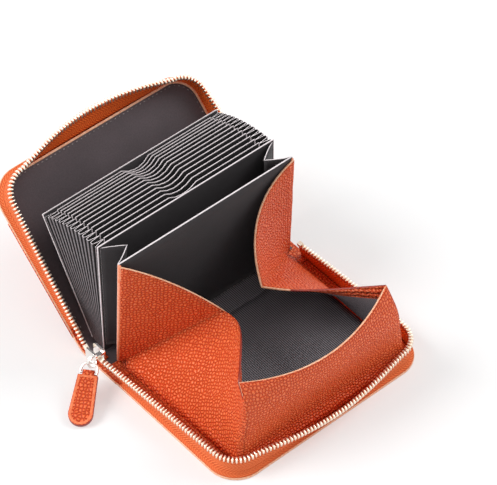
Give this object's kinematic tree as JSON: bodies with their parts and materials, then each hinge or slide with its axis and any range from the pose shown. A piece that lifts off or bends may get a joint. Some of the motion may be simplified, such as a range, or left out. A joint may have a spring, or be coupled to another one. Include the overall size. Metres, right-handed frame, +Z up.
{
  "type": "zip-around accordion card wallet",
  "caption": "Zip-around wallet in pebbled leather standing open: a fan of card dividers with pleated bellows, a wide pocket, a folding coin pouch, and a slider with ring and leather pull.",
  "frame": {"origin": "centre of the lower cover's underside, on the table", "axes": "+X along the spine away from the slider, +Y from the free edge to the spine, +Z up"},
  "size_m": [0.1437, 0.1688, 0.0684],
  "materials": {
    "outer_leather": "pebbled grain, satin",
    "zip_tape": "woven herringbone",
    "lining": "plain weave, matt",
    "card_fabric": "plain weave with pale cut edges",
    "pouch_floor": "fine ribbed weave",
    "stiffener": "matt board",
    "zip_metal": "polished pale nickel"
  },
  "bodies": {
    "lower_cover": {"lower_cover_leather": "outer_leather", "lower_board": "stiffener", "lower_lining": "outer_leather", "lower_zip_tape": "zip_tape", "lower_zip_teeth": "zip_metal", "lower_zip_stops": "zip_metal", "coin_floor": "pouch_floor", "left_coin_gusset": "outer_leather", "right_coin_gusset": "outer_leather"},
    "spine": {"spine_leather": "outer_leather", "spine_lining": "lining", "zip_end_tabs": "zip_tape"},
    "upper_cover": {"upper_cover_leather": "outer_leather", "upper_board": "stiffener", "upper_lining": "lining", "slip_pocket": "outer_leather", "upper_zip_tape_left": "zip_tape", "upper_zip_tape_edge": "zip_tape", "upper_zip_tape_right": "zip_tape", "upper_zip_teeth": "zip_metal", "upper_zip_stops": "zip_metal"},
    "coin_wall": {"coin_wall": "card_fabric", "coin_wall_lining": "lining", "left_wide_gusset": "card_fabric", "right_wide_gusset": "card_fabric"},
    "coin_front": {"coin_front_wall": "outer_leather"},
    "front_panel": {"front_panel": "card_fabric"},
    "divider_13": {"divider_13": "card_fabric"},
    "divider_12": {"divider_12": "card_fabric"},
    "divider_11": {"divider_11": "card_fabric"},
    "divider_10": {"divider_10": "card_fabric"},
    "divider_09": {"divider_09": "card_fabric"},
    "divider_08": {"divider_08": "card_fabric"},
    "divider_07": {"divider_07": "card_fabric", "left_bellows": "card_fabric", "right_bellows": "card_fabric"},
    "divider_06": {"divider_06": "card_fabric"},
    "divider_05": {"divider_05": "card_fabric"},
    "divider_04": {"divider_04": "card_fabric"},
    "divider_03": {"divider_03": "card_fabric"},
    "divider_02": {"divider_02": "card_fabric"},
    "divider_01": {"divider_01": "card_fabric"},
    "back_panel": {"back_panel": "card_fabric"},
    "slider": {"slider_body": "zip_metal", "slider_bridge": "zip_metal"},
    "pull_ring": {"pull_ring": "zip_metal"},
    "pull_tab": {"pull_tab_face": "outer_leather", "pull_tab_back": "outer_leather"}
  },
  "joints": [
    {"name": "spine_fold", "type": "hinge", "parent": "lower_cover", "child": "spine", "pos_m": [0, 0.04, 0.0014], "axis": [1, 0, 0], "range_deg": [0, 82.69], "deforming": ["left_coin_gusset", "right_coin_gusset"]},
    {"name": "cover_hinge", "type": "hinge", "parent": "spine", "child": "upper_cover", "pos_m": [0, 0.06323, 0.00438], "axis": [1, 0, 0], "range_deg": [0, 55.31]},
    {"name": "coin_wall_fold", "type": "hinge", "parent": "lower_cover", "child": "coin_wall", "pos_m": [0, 0.04, 0.0014], "axis": [1, 0, 0], "range_deg": [0, 86.4]},
    {"name": "coin_front_fold", "type": "hinge", "parent": "lower_cover", "child": "coin_front", "pos_m": [0, -0.03595, 0.00375], "axis": [1, 0, 0], "range_deg": [-77, 0], "deforming": ["coin_front_wall"]},
    {"name": "front_panel_turn", "type": "hinge", "parent": "coin_wall", "child": "front_panel", "pos_m": [0, 0.057, 0.00188], "axis": [1, 0, 0], "range_deg": [0, 7.71], "deforming": ["left_wide_gusset", "right_wide_gusset"]},
    {"name": "divider_13_turn", "type": "hinge", "parent": "front_panel", "child": "divider_13", "pos_m": [0, 0.057, 0.00188], "axis": [1, 0, 0], "range_deg": [0, 2.12]},
    {"name": "divider_12_turn", "type": "hinge", "parent": "divider_13", "child": "divider_12", "pos_m": [0, 0.057, 0.00188], "axis": [1, 0, 0], "range_deg": [0, 2.12]},
    {"name": "divider_11_turn", "type": "hinge", "parent": "divider_12", "child": "divider_11", "pos_m": [0, 0.057, 0.00188], "axis": [1, 0, 0], "range_deg": [0, 2.12]},
    {"name": "divider_10_turn", "type": "hinge", "parent": "divider_11", "child": "divider_10", "pos_m": [0, 0.057, 0.00188], "axis": [1, 0, 0], "range_deg": [0, 2.12]},
    {"name": "divider_09_turn", "type": "hinge", "parent": "divider_10", "child": "divider_09", "pos_m": [0, 0.057, 0.00188], "axis": [1, 0, 0], "range_deg": [0, 2.12]},
    {"name": "divider_08_turn", "type": "hinge", "parent": "divider_09", "child": "divider_08", "pos_m": [0, 0.057, 0.00188], "axis": [1, 0, 0], "range_deg": [0, 2.12]},
    {"name": "divider_07_turn", "type": "hinge", "parent": "divider_08", "child": "divider_07", "pos_m": [0, 0.057, 0.00188], "axis": [1, 0, 0], "range_deg": [0, 2.12], "deforming": ["left_bellows", "right_bellows"]},
    {"name": "divider_06_turn", "type": "hinge", "parent": "divider_07", "child": "divider_06", "pos_m": [0, 0.057, 0.00188], "axis": [1, 0, 0], "range_deg": [0, 2.12]},
    {"name": "divider_05_turn", "type": "hinge", "parent": "divider_06", "child": "divider_05", "pos_m": [0, 0.057, 0.00188], "axis": [1, 0, 0], "range_deg": [0, 2.12]},
    {"name": "divider_04_turn", "type": "hinge", "parent": "divider_05", "child": "divider_04", "pos_m": [0, 0.057, 0.00188], "axis": [1, 0, 0], "range_deg": [0, 2.12]},
    {"name": "divider_03_turn", "type": "hinge", "parent": "divider_04", "child": "divider_03", "pos_m": [0, 0.057, 0.00188], "axis": [1, 0, 0], "range_deg": [0, 2.12]},
    {"name": "divider_02_turn", "type": "hinge", "parent": "divider_03", "child": "divider_02", "pos_m": [0, 0.057, 0.00188], "axis": [1, 0, 0], "range_deg": [0, 2.12]},
    {"name": "divider_01_turn", "type": "hinge", "parent": "divider_02", "child": "divider_01", "pos_m": [0, 0.057, 0.00188], "axis": [1, 0, 0], "range_deg": [0, 2.12]},
    {"name": "back_panel_turn", "type": "hinge", "parent": "divider_01", "child": "back_panel", "pos_m": [0, 0.057, 0.00188], "axis": [1, 0, 0], "range_deg": [0, 2.12]},
    {"name": "slider_travel", "type": "slide", "parent": "lower_cover", "child": "slider", "axis": [0.0503, -0.9987, 0.0095], "range_m": [0, 0.06], "deforming": ["upper_zip_teeth"]},
    {"name": "ring_swing", "type": "hinge", "parent": "slider", "child": "pull_ring", "pos_m": [-0.06198, 0.046, 0.01137], "axis": [0.5592, -0.829, 0], "range_deg": [-60, 25]},
    {"name": "tab_swing", "type": "hinge", "parent": "pull_ring", "child": "pull_tab", "pos_m": [-0.06524, 0.0438, 0.00862], "axis": [0.5592, -0.829, 0], "range_deg": [-45, 45]}
  ],
  "couplings": [
    {"joint": "coin_wall_fold", "follows": "spine_fold", "ratio": 1.0449},
    {"joint": "coin_front_fold", "follows": "spine_fold", "ratio": -0.93118},
    {"joint": "front_panel_turn", "follows": "cover_hinge", "ratio": 0.13939},
    {"joint": "divider_13_turn", "follows": "cover_hinge", "ratio": 0.038355},
    {"joint": "divider_12_turn", "follows": "cover_hinge", "ratio": 0.038355},
    {"joint": "divider_11_turn", "follows": "cover_hinge", "ratio": 0.038355},
    {"joint": "divider_10_turn", "follows": "cover_hinge", "ratio": 0.038355},
    {"joint": "divider_09_turn", "follows": "cover_hinge", "ratio": 0.038355},
    {"joint": "divider_08_turn", "follows": "cover_hinge", "ratio": 0.038355},
    {"joint": "divider_07_turn", "follows": "cover_hinge", "ratio": 0.038355},
    {"joint": "divider_06_turn", "follows": "cover_hinge", "ratio": 0.038355},
    {"joint": "divider_05_turn", "follows": "cover_hinge", "ratio": 0.038355},
    {"joint": "divider_04_turn", "follows": "cover_hinge", "ratio": 0.038355},
    {"joint": "divider_03_turn", "follows": "cover_hinge", "ratio": 0.038355},
    {"joint": "divider_02_turn", "follows": "cover_hinge", "ratio": 0.038355},
    {"joint": "divider_01_turn", "follows": "cover_hinge", "ratio": 0.038355},
    {"joint": "back_panel_turn", "follows": "cover_hinge", "ratio": 0.038355}
  ]
}
